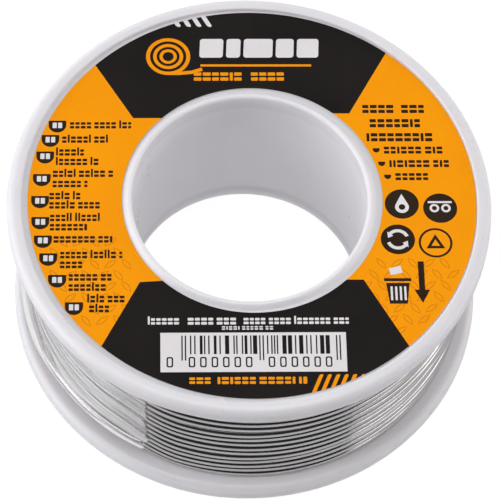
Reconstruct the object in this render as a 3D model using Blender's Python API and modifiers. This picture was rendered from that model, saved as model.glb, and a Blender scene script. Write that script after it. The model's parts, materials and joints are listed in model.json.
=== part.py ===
"""Solder wire spool: a one-piece moulded plastic spool, its face label, ten wound
layers of 1.0 mm flux-cored solder wire, the wire's free end and the strip of
clear tape that holds it down.

Metres, +Z up. The spool stands on its lower rim with its axis along Z, and the origin
is the centre of the bore on the plane it rests on. The label is on the upper face.
Azimuths are measured about Z from +X towards +Y.
The free end of the wire and the tape over it are flexible, so each is a chain of
short pieces, and every piece has its origin on the hinge line it bends about.
"""

import math

import bmesh
import bpy
from mathutils import Matrix, Vector

MM = 0.001

# Dimensions are in millimetres, azimuths and arcs in degrees.

# ---- spool ----
FLANGE_R = 25.0  # outer radius of both flanges
TOTAL_H = 20.5  # over both rims
RIM_T = 2.35  # thickness of a flange at its rim
RIM_FILLET = 0.9  # rounding of the rim's outer edges
RIM_INNER_FILLET = 0.2  # rounding of the rim's edge above the recess
RECESS_DEPTH = 0.49  # label recess below the rim, the same on the bare underside
RECESS_R_OUT = 23.5
RECESS_R_IN_TOP = 13.1
RECESS_R_IN_BOTTOM = 13.35
BORE_R_TOP = 12.15  # the bore tapers slightly, for the mould's core
BORE_R_BOTTOM = 12.45
COLLAR_FILLET_IN = 0.45  # rounding of the collar's edge at the bore
COLLAR_FILLET_OUT = 0.2  # and at the recess
HUB_R = 14.3
HUB_FILLET = 0.5  # between the hub and each flange
INNER_LOW = RIM_T  # inner face of the lower flange
INNER_HIGH = TOTAL_H - RIM_T  # inner face of the upper flange
ROUND_STEPS = 60  # segments round the spool and the label

# ---- label ----
LABEL_R_OUT = 23.14
LABEL_R_IN = 13.47
LABEL_T = 0.09
LABEL_GAP = 0.03  # between the label and the recess floor
LABEL_SHIFT = (0.28, 0.12)  # x and y: it is stuck on slightly off centre

# ---- winding ----
WIRE_D = 1.0
WIRE_R = WIRE_D / 2
LAYERS = 10
LAYER_STEP = 0.867  # each layer sinks into the grooves of the one below
LAYER_GAP = 0.12  # kept free on both sides of a buried layer
LAYER_STEPS = 40  # segments round a buried layer
FLANGE_GAP = 0.1  # between the winding and a flange
FILLET_GAP = 0.1  # between the first layer's ends and the hub's fillets
TURN_PITCH = 1.04
OUTER_COIL_R = HUB_R + (LAYERS - 1) * LAYER_STEP + WIRE_R  # centre line of the last layer
COIL_LOW = INNER_LOW + WIRE_R + FLANGE_GAP
COIL_HIGH = INNER_HIGH - WIRE_R - FLANGE_GAP
COIL_STEP_ARC = 12.0  # longest segment of the last layer
COIL_BEVEL_RESOLUTION = 1
JOG_START = 150.0  # each turn lies flat, and steps down to the next over this arc
JOG_ARC = 60.0
CLIMB_START = 120.0  # the last turn meets the flange and moves out onto the winding
CLIMB_ARC = 20.0
CLIMB_STEPS = 7  # segments from there to the free end

# ---- free end of the wire ----
BEND_START = 171.0  # azimuth where the free end leaves the winding
BEND_STEP = 12.4  # arc of each flexible piece
BENDS = 6
PIECE_STEPS = 4  # segments along each flexible piece
PIECE_GAP = 0.3  # between neighbouring pieces
TAIL_R = 23.62  # radius of the free end's centre line
TAIL_Z = 5.6
TAIL_BEVEL_RESOLUTION = 2

# ---- flux in the end of the wire ----
FLUX_R = 0.17
FLUX_BORE_R = 0.22
FLUX_ARC = 5.0  # depth of the bore
FLUX_INNER_GAP = 0.4  # arc between the bore's bottom and the flux
FLUX_RECESS = 0.1  # arc between the flux and the wire's end face
FLUX_STEPS = 3
BORE_OVERCUT = 2.0  # arc the cutter runs past the wire's end
BORE_STEPS = 4

# ---- tape ----
TAPE_R = 23.2
TAPE_T = 0.08
TAPE_TOP = 14.75
TAPE_BOTTOM = 4.75
TAPE_WIRE_GAP = 0.1
TAPE_OVER_WIRE_R = TAIL_R + WIRE_R + TAPE_WIRE_GAP  # where it rides over the free end
TAPE_STEP_TOP = 7.4
TAPE_STEP_BOTTOM = 6.4
TAPE_ANCHOR_ARC = 40.0  # the part stuck down before the first hinge
TAPE_ANCHOR_STEPS = 12
TAPE_OVERHANG = 0.6  # the tape's cut edge stands this many degrees past the wire's end


# ---- scene and materials ----
def clear_scene():
    for obj in list(bpy.data.objects):
        bpy.data.objects.remove(obj, do_unlink=True)
    for mesh in list(bpy.data.meshes):
        bpy.data.meshes.remove(mesh)


def new_collection(name):
    collection = bpy.data.collections.new(name)
    bpy.context.scene.collection.children.link(collection)
    return collection


def new_material(name, color, roughness, metallic=0.0, alpha=1.0):
    mat = bpy.data.materials.new(name)
    mat.use_nodes = True
    shader = mat.node_tree.nodes["Principled BSDF"]
    shader.inputs["Base Color"].default_value = (*color, 1.0)
    shader.inputs["Roughness"].default_value = roughness
    shader.inputs["Metallic"].default_value = metallic
    shader.inputs["Alpha"].default_value = alpha
    return mat


# ---- turned pieces ----
def arc(center, radius, start, end, steps):
    """Points of an arc in the (radius, z) plane, both ends included."""
    points = []
    for i in range(steps + 1):
        angle = math.radians(start + (end - start) * i / steps)
        points.append(
            (center[0] + radius * math.cos(angle), center[1] + radius * math.sin(angle))
        )
    return points


def add_turned(name, points, collection, mat, steps, closed=True, sweep=360.0):
    """A profile of (radius, z) points at +X, turned about Z with a Screw modifier."""
    mesh = bpy.data.meshes.new(name)
    profile = bmesh.new()
    verts = [profile.verts.new((radius * MM, 0.0, z * MM)) for radius, z in points]
    for pair in zip(verts, verts[1:]):
        profile.edges.new(pair)
    if closed:
        profile.edges.new((verts[-1], verts[0]))
    profile.to_mesh(mesh)
    profile.free()
    mesh.materials.append(mat)
    obj = bpy.data.objects.new(name, mesh)
    collection.objects.link(obj)
    turn = obj.modifiers.new("Turn", "SCREW")
    turn.axis = "Z"
    turn.angle = math.radians(sweep)
    turn.steps = steps
    turn.render_steps = steps
    turn.use_merge_vertices = True
    turn.merge_threshold = 0.00001
    turn.use_smooth_shade = True
    return obj


def half_collar(bore_r, outer_r):
    """The raised ring round the bore, from the bore's wall to the recess floor."""
    inner_center = (bore_r + COLLAR_FILLET_IN, TOTAL_H - COLLAR_FILLET_IN)
    outer_center = (outer_r - COLLAR_FILLET_OUT, TOTAL_H - COLLAR_FILLET_OUT)
    return [
        *arc(inner_center, COLLAR_FILLET_IN, start=180, end=90, steps=3),
        *arc(outer_center, COLLAR_FILLET_OUT, start=90, end=0, steps=2),
        (outer_r, TOTAL_H - RECESS_DEPTH),
    ]


def half_rim():
    """From the recess floor over the rim and in along the flange's inner face to the hub."""
    inner_center = (RECESS_R_OUT + RIM_INNER_FILLET, TOTAL_H - RIM_INNER_FILLET)
    top_center = (FLANGE_R - RIM_FILLET, TOTAL_H - RIM_FILLET)
    low_center = (FLANGE_R - RIM_FILLET, INNER_HIGH + RIM_FILLET)
    hub_center = (HUB_R + HUB_FILLET, INNER_HIGH - HUB_FILLET)
    return [
        (RECESS_R_OUT, TOTAL_H - RECESS_DEPTH),
        *arc(inner_center, RIM_INNER_FILLET, start=180, end=90, steps=2),
        *arc(top_center, RIM_FILLET, start=90, end=0, steps=4),
        *arc(low_center, RIM_FILLET, start=0, end=-90, steps=4),
        *arc(hub_center, HUB_FILLET, start=90, end=180, steps=2),
    ]


def add_spool(collection, mat):
    """The upper half's outline from bore to hub, then the lower half's back to the bore."""
    upper = half_collar(BORE_R_TOP, RECESS_R_IN_TOP) + half_rim()
    lower = half_collar(BORE_R_BOTTOM, RECESS_R_IN_BOTTOM) + half_rim()
    mirrored = [(radius, TOTAL_H - z) for radius, z in reversed(lower)]
    add_turned("spool_body", upper + mirrored, collection, mat, ROUND_STEPS)


def sleeve_profile(inner, outer, low, high):
    return [(inner, high), (outer, high), (outer, low), (inner, low)]


def add_label(collection, mat):
    low = TOTAL_H - RECESS_DEPTH + LABEL_GAP
    points = sleeve_profile(LABEL_R_IN, LABEL_R_OUT, low, low + LABEL_T)
    label = add_turned("face_label", points, collection, mat, ROUND_STEPS)
    label.location = (LABEL_SHIFT[0] * MM, LABEL_SHIFT[1] * MM, 0.0)


def add_buried_layer(number, collection, mat):
    """One full layer of turns under the visible one, as the sleeve that its turns fill."""
    inner = HUB_R + (number - 1) * LAYER_STEP + LAYER_GAP
    outer = HUB_R + number * LAYER_STEP - LAYER_GAP
    margin = HUB_FILLET + FILLET_GAP if number == 1 else FLANGE_GAP
    points = sleeve_profile(inner, outer, INNER_LOW + margin, INNER_HIGH - margin)
    add_turned(f"wire_layer_{number:02d}", points, collection, mat, LAYER_STEPS)


# ---- round wires ----
def ring_point(radius, azimuth, z):
    """A point in metres, from a radius and height in millimetres."""
    angle = math.radians(azimuth)
    return Vector((radius * math.cos(angle) * MM, radius * math.sin(angle) * MM, z * MM))


def tail_points(start, end, steps):
    """Points along the free end's centre line."""
    return [ring_point(TAIL_R, start + (end - start) * i / steps, TAIL_Z) for i in range(steps + 1)]


def wire_curve(name, points, radius, resolution):
    curve = bpy.data.curves.new(name, "CURVE")
    curve.dimensions = "3D"
    curve.twist_mode = "Z_UP"
    curve.bevel_depth = radius * MM
    curve.bevel_resolution = resolution
    curve.use_fill_caps = True
    spline = curve.splines.new("POLY")
    spline.points.add(len(points) - 1)
    for target, point in zip(spline.points, points):
        target.co = (*point, 1.0)
    return curve


def evaluated_mesh(obj, name):
    """A new mesh of the object with its modifiers or bevel applied."""
    bpy.context.view_layer.update()
    graph = bpy.context.evaluated_depsgraph_get()
    mesh = bpy.data.meshes.new_from_object(obj.evaluated_get(graph))
    mesh.name = name
    return mesh


def weld_caps(mesh):
    """Close the wire by joining its end caps to its wall."""
    shell = bmesh.new()
    shell.from_mesh(mesh)
    bmesh.ops.remove_doubles(shell, verts=shell.verts, dist=0.000001)
    bmesh.ops.recalc_face_normals(shell, faces=shell.faces)
    shell.to_mesh(mesh)
    shell.free()


def add_wire(name, points, radius, resolution, collection, mat=None, origin=Vector()):
    """A closed round wire along points in the spool's frame, with the given origin."""
    curve = wire_curve(name, [point - origin for point in points], radius, resolution)
    holder = bpy.data.objects.new(name + "_path", curve)
    bpy.context.scene.collection.objects.link(holder)
    mesh = evaluated_mesh(holder, name)
    bpy.data.objects.remove(holder, do_unlink=True)
    weld_caps(mesh)
    mesh.shade_smooth()
    if mat:
        mesh.materials.append(mat)
    obj = bpy.data.objects.new(name, mesh)
    obj.location = origin
    collection.objects.link(obj)
    return obj


def half_gap_arc(radius):
    """Half the gap between two flexible pieces, in degrees."""
    return math.degrees(PIECE_GAP / 2 / radius)


def smooth(fraction):
    """Ease from 0 to 1, flat at both ends."""
    fraction = min(max(fraction, 0.0), 1.0)
    return fraction * fraction * (3.0 - 2.0 * fraction)


def turn_height(azimuth, jogs):
    """Height of the wire at a total azimuth: it steps down by one pitch in each jog."""
    z = COIL_LOW
    for k in range(1, jogs + 1):
        z += TURN_PITCH * (1.0 - smooth((azimuth - JOG_START + 360.0 * k) / JOG_ARC))
    return z


def outer_layer_points():
    """The last layer: flat turns stepping down from the top flange to the bottom one.
    The last turn moves outwards, then rises to where the free end begins."""
    jogs = int((COIL_HIGH - COIL_LOW) / TURN_PITCH)
    start = JOG_START - 360.0 * jogs - (360.0 - JOG_ARC)
    count = math.ceil((CLIMB_START - start) / COIL_STEP_ARC)
    points = []
    for i in range(count + 1):
        azimuth = start + (CLIMB_START - start) * i / count
        points.append(ring_point(OUTER_COIL_R, azimuth, turn_height(azimuth, jogs)))

    climb_end = CLIMB_START + CLIMB_ARC
    last = BEND_START - half_gap_arc(TAIL_R)
    for i in range(1, CLIMB_STEPS + 1):
        azimuth = CLIMB_START + (last - CLIMB_START) * i / CLIMB_STEPS
        out = smooth((azimuth - CLIMB_START) / CLIMB_ARC)
        up = smooth((azimuth - climb_end) / (last - climb_end))
        radius = OUTER_COIL_R + (TAIL_R - OUTER_COIL_R) * out
        points.append(ring_point(radius, azimuth, COIL_LOW + (TAIL_Z - COIL_LOW) * up))
    return points


def add_outer_layer(collection, mat):
    name = f"wire_layer_{LAYERS:02d}"
    add_wire(name, outer_layer_points(), WIRE_R, COIL_BEVEL_RESOLUTION, collection, mat)


# ---- flexible pieces ----
def hinge_azimuth(number):
    return BEND_START + (number - 1) * BEND_STEP


def wire_hinge(number):
    return ring_point(TAIL_R, hinge_azimuth(number), TAIL_Z)


def add_wire_piece(number, collection, mat):
    """One piece of the free end, with its origin on the line it bends about."""
    gap = half_gap_arc(TAIL_R)
    start = hinge_azimuth(number) + gap
    end = hinge_azimuth(number + 1) - (0.0 if number == BENDS else gap)
    points = tail_points(start, end, PIECE_STEPS)
    return add_wire(
        f"wire_end_{number}", points, WIRE_R, TAIL_BEVEL_RESOLUTION,
        collection, mat, wire_hinge(number),
    )


def cut_flux_bore(piece, cutters):
    """Bore the end of the last wire piece for the flux."""
    end = hinge_azimuth(BENDS + 1)
    points = tail_points(end - FLUX_ARC, end + BORE_OVERCUT, BORE_STEPS)
    cutter = add_wire(
        "flux_bore", points, FLUX_BORE_R, TAIL_BEVEL_RESOLUTION,
        cutters, origin=wire_hinge(BENDS),
    )
    cutter.hide_render = True
    cutter.display_type = "WIRE"
    cut = piece.modifiers.new("Flux bore", "BOOLEAN")
    cut.operation = "DIFFERENCE"
    cut.solver = "EXACT"
    cut.object = cutter


def add_flux_core(collection, mat):
    end = hinge_azimuth(BENDS + 1)
    points = tail_points(end - FLUX_ARC + FLUX_INNER_GAP, end - FLUX_RECESS, FLUX_STEPS)
    add_wire(
        "flux_core", points, FLUX_R, TAIL_BEVEL_RESOLUTION, collection, mat, wire_hinge(BENDS)
    )


def add_tape(name, start, end, steps, hinge, collection, mat):
    """A strip of tape: its cross-section swept round the winding, then thickened."""
    # Radius and height, from the top edge down over the free end.
    section = [
        (TAPE_R, TAPE_TOP),
        (TAPE_R, TAPE_STEP_TOP),
        (TAPE_OVER_WIRE_R, TAPE_STEP_BOTTOM),
        (TAPE_OVER_WIRE_R, TAPE_BOTTOM),
    ]
    obj = add_turned(name, section, collection, mat, steps, closed=False, sweep=end - start)
    thick = obj.modifiers.new("Thickness", "SOLIDIFY")
    thick.thickness = TAPE_T * MM
    thick.offset = 1.0
    thick.use_even_offset = True
    mesh = evaluated_mesh(obj, name)
    obj.modifiers.clear()
    # The sweep starts at +X: turn it to its azimuth and measure it from its hinge.
    mesh.transform(Matrix.Translation(-hinge) @ Matrix.Rotation(math.radians(start), 4, "Z"))
    obj.data = mesh
    obj.location = hinge


def add_tape_pieces(collection, mat):
    gap = half_gap_arc(TAPE_R)
    start, end = BEND_START - TAPE_ANCHOR_ARC, BEND_START - gap
    add_tape("tape_anchor", start, end, TAPE_ANCHOR_STEPS, Vector(), collection, mat)
    for number in range(1, BENDS + 1):
        start = hinge_azimuth(number) + gap
        end = hinge_azimuth(number + 1) + (TAPE_OVERHANG if number == BENDS else -gap)
        hinge = ring_point(TAIL_R, hinge_azimuth(number), 0.0)
        add_tape(f"tape_flap_{number}", start, end, PIECE_STEPS, hinge, collection, mat)


def main():
    clear_scene()
    parts = new_collection("solder_wire_spool")
    cutters = new_collection("cutters")

    plastic = new_material("White plastic", color=(0.80, 0.79, 0.82), roughness=0.35)
    paper = new_material("Label paper", color=(0.92, 0.36, 0.01), roughness=0.45)
    solder = new_material("Solder", color=(0.62, 0.61, 0.60), roughness=0.28, metallic=1.0)
    flux = new_material("Rosin flux", color=(0.75, 0.48, 0.12), roughness=0.3)
    tape = new_material("Clear tape", color=(0.88, 0.87, 0.88), roughness=0.15, alpha=0.35)

    add_spool(parts, plastic)
    add_label(parts, paper)
    for number in range(1, LAYERS):
        add_buried_layer(number, parts, solder)
    add_outer_layer(parts, solder)
    for number in range(1, BENDS + 1):
        piece = add_wire_piece(number, parts, solder)
    cut_flux_bore(piece, cutters)  # the last piece
    add_flux_core(parts, flux)
    add_tape_pieces(parts, tape)


main()
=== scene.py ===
"""A spool of solder wire: moulded spool, printed label, wound wire with a free end, clear tape.

The spool stands on the floor at z = 0 with its axis along +Z and the label on top; the camera looks
from -Y. Lengths are in millimetres and angles in degrees unless a comment says otherwise. Azimuths
turn anticlockwise from +X, and a total azimuth goes on counting past 360 from turn to turn.
"""

import json
import math
import random
from contextlib import contextmanager
from functools import reduce

import bmesh
import bpy
import numpy as np
from mathutils import Matrix, Vector, geometry, noise


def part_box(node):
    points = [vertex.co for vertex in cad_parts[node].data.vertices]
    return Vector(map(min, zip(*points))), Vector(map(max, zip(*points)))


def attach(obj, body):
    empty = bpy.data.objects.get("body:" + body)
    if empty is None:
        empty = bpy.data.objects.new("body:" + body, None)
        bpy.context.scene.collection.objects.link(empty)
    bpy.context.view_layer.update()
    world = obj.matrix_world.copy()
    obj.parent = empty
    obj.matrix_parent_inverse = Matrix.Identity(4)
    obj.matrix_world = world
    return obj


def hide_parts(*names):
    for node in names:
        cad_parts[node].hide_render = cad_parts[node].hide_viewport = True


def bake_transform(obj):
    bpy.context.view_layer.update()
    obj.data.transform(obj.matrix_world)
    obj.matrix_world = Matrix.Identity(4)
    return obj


MM = 0.001

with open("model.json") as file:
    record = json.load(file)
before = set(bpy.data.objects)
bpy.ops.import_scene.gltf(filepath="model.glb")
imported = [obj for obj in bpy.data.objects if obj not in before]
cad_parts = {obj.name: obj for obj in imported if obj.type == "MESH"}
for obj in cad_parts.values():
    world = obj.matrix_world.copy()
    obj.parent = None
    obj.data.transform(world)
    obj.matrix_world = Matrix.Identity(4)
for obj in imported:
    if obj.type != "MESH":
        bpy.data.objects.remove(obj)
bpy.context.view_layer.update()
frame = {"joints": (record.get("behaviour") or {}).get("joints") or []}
JOINTS = {joint["name"]: joint for joint in frame["joints"]}
dice = random.Random(20)

# ------------------------------------------------------------------ places, from the frame

spool_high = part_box("spool_body")[1]
label_low, label_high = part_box("face_label")
coil_low, coil_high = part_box("wire_layer_10")

FLANGE_R = spool_high.x / MM
TOTAL_H = spool_high.z / MM
LABEL_TOP = label_high.z / MM
LABEL_T = (label_high.z - label_low.z) / MM
LABEL_X = (label_high.x + label_low.x) / 2 / MM
LABEL_Y = (label_high.y + label_low.y) / 2 / MM
LABEL_R = (label_high.x - label_low.x) / 2 / MM

WIRE_R = 0.5
PITCH = 1.04  # from one turn to the next
COIL_LOW = coil_low.z / MM + WIRE_R
COIL_BASE = COIL_LOW - 0.04  # centre line of the lowest turn
COIL_R = coil_high.x / MM - WIRE_R


def hinge_place(number):
    """(azimuth, radius, z) of one joint of the free end."""
    x, y, z = JOINTS[f"wire_end_bend_{number}"]["pos_m"]
    return math.degrees(math.atan2(y, x)) % 360.0, math.hypot(x, y) / MM, z / MM


HINGES = [hinge_place(number) for number in range(1, 7)]
TAIL_START, TAIL_R, TAIL_Z = HINGES[0]
STEP = HINGES[1][0] - TAIL_START
TIP = TAIL_START + 6 * STEP
CUTS = [hinge[0] + STEP / 2 for hinge in HINGES]  # azimuths that part the lengths of wire and tape


def smooth(share):
    share = min(max(share, 0.0), 1.0)
    return share * share * (3.0 - 2.0 * share)


def ring(radius, azimuth, z):
    """A point in metres."""
    angle = math.radians(azimuth)
    return (radius * math.cos(angle) * MM, radius * math.sin(angle) * MM, z * MM)


def wave(x, y=0.0, z=0.0):
    return noise.noise(Vector((x, y, z)))


# ------------------------------------------------------------------ meshes and outlines


@contextmanager
def editing(mesh):
    work = bmesh.new()
    work.from_mesh(mesh)
    yield work
    work.to_mesh(mesh)
    work.free()


def object_of(name, verts, faces, materials, uvs=None, smooth_faces=True):
    """An object from points in metres, with one UV pair per vertex."""
    mesh = bpy.data.meshes.new(name)
    mesh.from_pydata([tuple(vert) for vert in verts], [], faces)
    if uvs is not None:
        layer = mesh.uv_layers.new(name="along")
        index = np.zeros(len(mesh.loops), np.int32)
        mesh.loops.foreach_get("vertex_index", index)
        layer.data.foreach_set("uv", np.asarray(uvs, np.float32)[index].ravel())
    obj = bpy.data.objects.new(name, mesh)
    bpy.context.scene.collection.objects.link(obj)
    for material in materials:
        mesh.materials.append(material)
    if smooth_faces:
        mesh.shade_smooth()
    mesh.validate()
    mesh.update()
    return obj


def sweep(name, path, sides, material, sizes=None, before=None, after=None):
    """A wire along path (points in metres), closed at both ends.

    sizes holds a (sideways, upward) half width for each point. The points before and after the
    path only steer its end rings, so that one length runs on into the next.
    """
    path = np.asarray(path, float)
    count = len(path)
    sizes = sizes or [(WIRE_R, WIRE_R)] * count
    lead = np.asarray([2 * path[0] - path[1]] if before is None else before)
    trail = np.asarray([2 * path[-1] - path[-2]] if after is None else after)
    longer = np.concatenate([lead, path, trail])
    tangents = longer[2:] - longer[:-2]
    tangents /= np.linalg.norm(tangents, axis=1)[:, None]
    outward = np.cross(tangents, (0.0, 0.0, 1.0))
    outward /= np.linalg.norm(outward, axis=1)[:, None]
    upward = np.cross(outward, tangents)
    angles = np.arange(sides) * 2 * math.pi / sides
    lengths = np.linalg.norm(np.diff(path, axis=0), axis=1)
    length = np.concatenate([[0.0], np.cumsum(lengths)])
    verts, uvs = [], []
    for i, (wide, tall) in enumerate(sizes):
        for k, angle in enumerate(angles):
            across = outward[i] * math.cos(angle) * (wide * MM)
            verts.append(path[i] + across + upward[i] * math.sin(angle) * (tall * MM))
            uvs.append((length[i] / MM, abs(k / sides * 2 - 1)))
    faces = []
    for i in range(count - 1):
        for k in range(sides):
            here, beside = i * sides + k, i * sides + (k + 1) % sides
            faces.append((here, beside, beside + sides, here + sides))
    faces.append(tuple(range(sides)))
    faces.append(tuple((count - 1) * sides + k for k in reversed(range(sides))))
    obj = object_of(name, verts, faces, [material], uvs)
    for cap in (len(faces) - 1, len(faces) - 2):
        obj.data.polygons[cap].use_smooth = False
    with editing(obj.data) as work:
        bmesh.ops.recalc_face_normals(work, faces=work.faces)
        for face in work.faces:
            if not face.smooth:
                for edge in face.edges:
                    edge.smooth = False
    return obj


def arc(x, y, radius, start, end, steps):
    angles = [math.radians(start + (end - start) * i / steps) for i in range(steps + 1)]
    return [(x + radius * math.cos(angle), y + radius * math.sin(angle)) for angle in angles]


def circle(x, y, radius, steps=40):
    return arc(x, y, radius, 0.0, 360.0, steps)[:-1]


def line(start, end, steps):
    """The points between two ends, without the ends."""
    (x, y), (end_x, end_y) = start, end
    return [(x + (end_x - x) * i / steps, y + (end_y - y) * i / steps) for i in range(1, steps)]


# ------------------------------------------------------------------ materials


class Nodes:
    """Short names for building a node tree. A value is a number, a tuple or another's output."""

    def __init__(self, tree):
        self.tree = tree

    def feed(self, socket, value):
        if isinstance(value, (int, float)):
            socket.default_value = value
        elif isinstance(value, tuple):
            socket.default_value = (*value, 1.0) if socket.type == "RGBA" else value
        else:
            self.tree.links.new(value, socket)

    def add(self, kind, inputs=None, **settings):
        node = self.tree.nodes.new(kind)
        for key, value in settings.items():
            setattr(node, key, value)
        for key, value in (inputs or {}).items():
            self.feed(node.inputs[key], value)
        return node

    def coords(self, which="Object"):
        return self.add("ShaderNodeTexCoord").outputs[which]

    def split(self, vector):
        node = self.add("ShaderNodeSeparateXYZ", {0: vector})
        return [node.outputs[axis] for axis in "XYZ"]

    def mapping(self, vector, scale):
        return self.add("ShaderNodeMapping", {"Vector": vector, "Scale": scale}).outputs["Vector"]

    def noise(self, vector, scale=1.0, detail=3.0, roughness=0.5, distortion=0.0, stretch=None):
        inputs = {"Scale": scale, "Detail": detail, "Roughness": roughness}
        inputs["Distortion"] = distortion
        inputs["Vector"] = self.mapping(vector, stretch) if stretch else vector
        return self.add("ShaderNodeTexNoise", inputs).outputs["Fac"]

    def voronoi(self, vector, scale):
        inputs = {"Scale": scale, "Vector": vector}
        return self.add("ShaderNodeTexVoronoi", inputs).outputs["Distance"]

    def spread(self, value, span, to=(0.0, 1.0), curve="LINEAR"):
        """Turns the span of values into the range given by to, and holds it there beyond."""
        inputs = {"Value": value, "From Min": span[0], "From Max": span[1]}
        inputs.update({"To Min": to[0], "To Max": to[1]})
        return self.add("ShaderNodeMapRange", inputs, interpolation_type=curve).outputs["Result"]

    def math(self, operation, *values):
        node = self.add("ShaderNodeMath", dict(enumerate(values)), operation=operation)
        return node.outputs["Value"]

    def plus(self, *values):
        return reduce(lambda total, value: self.math("ADD", total, value), values)

    def times(self, *values):
        return reduce(lambda total, value: self.math("MULTIPLY", total, value), values)

    def minus(self, value, less):
        return self.math("SUBTRACT", value, less)

    def mix(self, factor, first, second):
        node = self.add("ShaderNodeMix", data_type="RGBA")
        self.feed(node.inputs["Factor"], factor)
        sockets = [socket for socket in node.inputs if socket.type == "RGBA"]
        for socket, color in zip(sockets, (first, second)):
            self.feed(socket, color)
        return [socket for socket in node.outputs if socket.type == "RGBA"][0]

    def mix_shader(self, factor, first, second):
        return self.add("ShaderNodeMixShader", {0: factor, 1: first, 2: second}).outputs["Shader"]

    def bump(self, height, strength, distance, after=None):
        """distance is in metres."""
        inputs = {"Strength": strength, "Distance": distance, "Height": height}
        if after is not None:
            inputs["Normal"] = after
        return self.add("ShaderNodeBump", inputs).outputs["Normal"]


class Material(Nodes):
    def __init__(self, name):
        self.material = bpy.data.materials.new(name)
        self.material.use_nodes = True
        super().__init__(self.material.node_tree)
        self.shader = self.tree.nodes["Principled BSDF"]

    def set(self, **values):
        for key, value in values.items():
            self.feed(self.shader.inputs[key.replace("_", " ")], value)
        return self.material


def painted_wall_glow(net, obj):
    """Painted light: an emission that brightens the shaded bore and the gap between the flanges,
    standing in for light through the thin wall (in metres).
    """
    x, y, z = net.split(obj)
    radius = net.math("SQRT", net.plus(net.times(x, x), net.times(y, y)))
    gap = net.times(
        net.spread(z, span=(0.0020, 0.0024)),
        net.spread(z, span=(0.0181, 0.0187), to=(1, 0)),
        net.spread(radius, span=(0.0230, 0.0249), to=(0.07, 0.0)),
    )
    bore = net.times(
        net.spread(radius, span=(0.0124, 0.0129), to=(1, 0)),
        net.spread(z, span=(0.004, 0.014), to=(0.0, 0.045)),
    )
    return net.plus(gap, bore)


def plastic_material():
    net = Material("moulded white plastic")
    obj = net.coords()
    cloud = net.noise(obj, scale=60, detail=4, roughness=0.55)
    grain = net.noise(obj, scale=2600, detail=3, roughness=0.6)
    peel = net.noise(obj, scale=420, detail=2)
    flow = net.noise(obj, stretch=(220, 220, 60), roughness=0.6, distortion=0.4)
    specks = net.voronoi(obj, scale=380)
    scratch = net.noise(
        obj, stretch=(4000, 260, 260), detail=2, roughness=0.65, distortion=1.2
    )
    white, other_white = (0.725, 0.712, 0.740), (0.755, 0.742, 0.765)
    streak_color, speck_color = (0.70, 0.688, 0.712), (0.45, 0.43, 0.41)
    base = net.mix(net.spread(cloud, span=(0.35, 0.65)), white, other_white)
    base = net.mix(net.spread(flow, span=(0.55, 0.78), to=(0, 0.35)), base, streak_color)
    base = net.mix(net.spread(specks, span=(0.0, 0.045), to=(0.55, 0.0)), base, speck_color)
    rough = net.plus(
        net.spread(cloud, span=(0.3, 0.7), to=(0.27, 0.40)),
        net.spread(scratch, span=(0.58, 0.72), to=(0.0, 0.12)),
        net.spread(grain, span=(0.3, 0.7), to=(-0.03, 0.03)),
    )
    normal = net.bump(peel, strength=0.10, distance=0.00012)
    normal = net.bump(grain, strength=0.10, distance=0.00002, after=normal)
    scores = net.spread(scratch, span=(0.60, 0.74))
    normal = net.bump(scores, strength=0.12, distance=0.00001, after=normal)
    return net.set(
        Base_Color=base,
        Roughness=rough,
        Normal=normal,
        # painted glow: emission lightens the shaded bore and the gap between the flanges
        Emission_Color=base,
        Emission_Strength=painted_wall_glow(net, obj),
        Subsurface_Weight=0.45,
        Subsurface_Scale=0.0020,
        Subsurface_Radius=(1.0, 0.85, 0.8),
        IOR=1.5,
        Coat_Weight=0.08,
        Coat_Roughness=0.18,
    )


def print_material(name, color, other_color, rough=0.42, grain=1.0):
    """Ink on a satin paper label."""
    net = Material(name)
    obj = net.coords()
    fibre = net.noise(
        obj, stretch=(900, 2600, 900), detail=4, roughness=0.62, distortion=0.6
    )
    cloud = net.noise(obj, scale=140)
    dots = net.noise(obj, scale=5200, detail=1)
    base = net.mix(net.spread(cloud, span=(0.3, 0.7)), color, other_color)
    lighter = tuple(min(1.0, channel * 1.12 + 0.001) for channel in color)
    base = net.mix(net.spread(dots, span=(0.52, 0.74), to=(0.0, 0.30 * grain)), base, lighter)
    roughness = net.plus(
        net.spread(cloud, span=(0.3, 0.7), to=(rough - 0.05, rough + 0.05)),
        net.spread(fibre, span=(0.3, 0.7), to=(-0.05, 0.05)),
    )
    normal = net.bump(fibre, strength=0.13, distance=0.00003)
    normal = net.bump(cloud, strength=0.08, distance=0.0003, after=normal)
    return net.set(Base_Color=base, Roughness=roughness, Normal=normal, Specular_IOR_Level=0.06)


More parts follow.
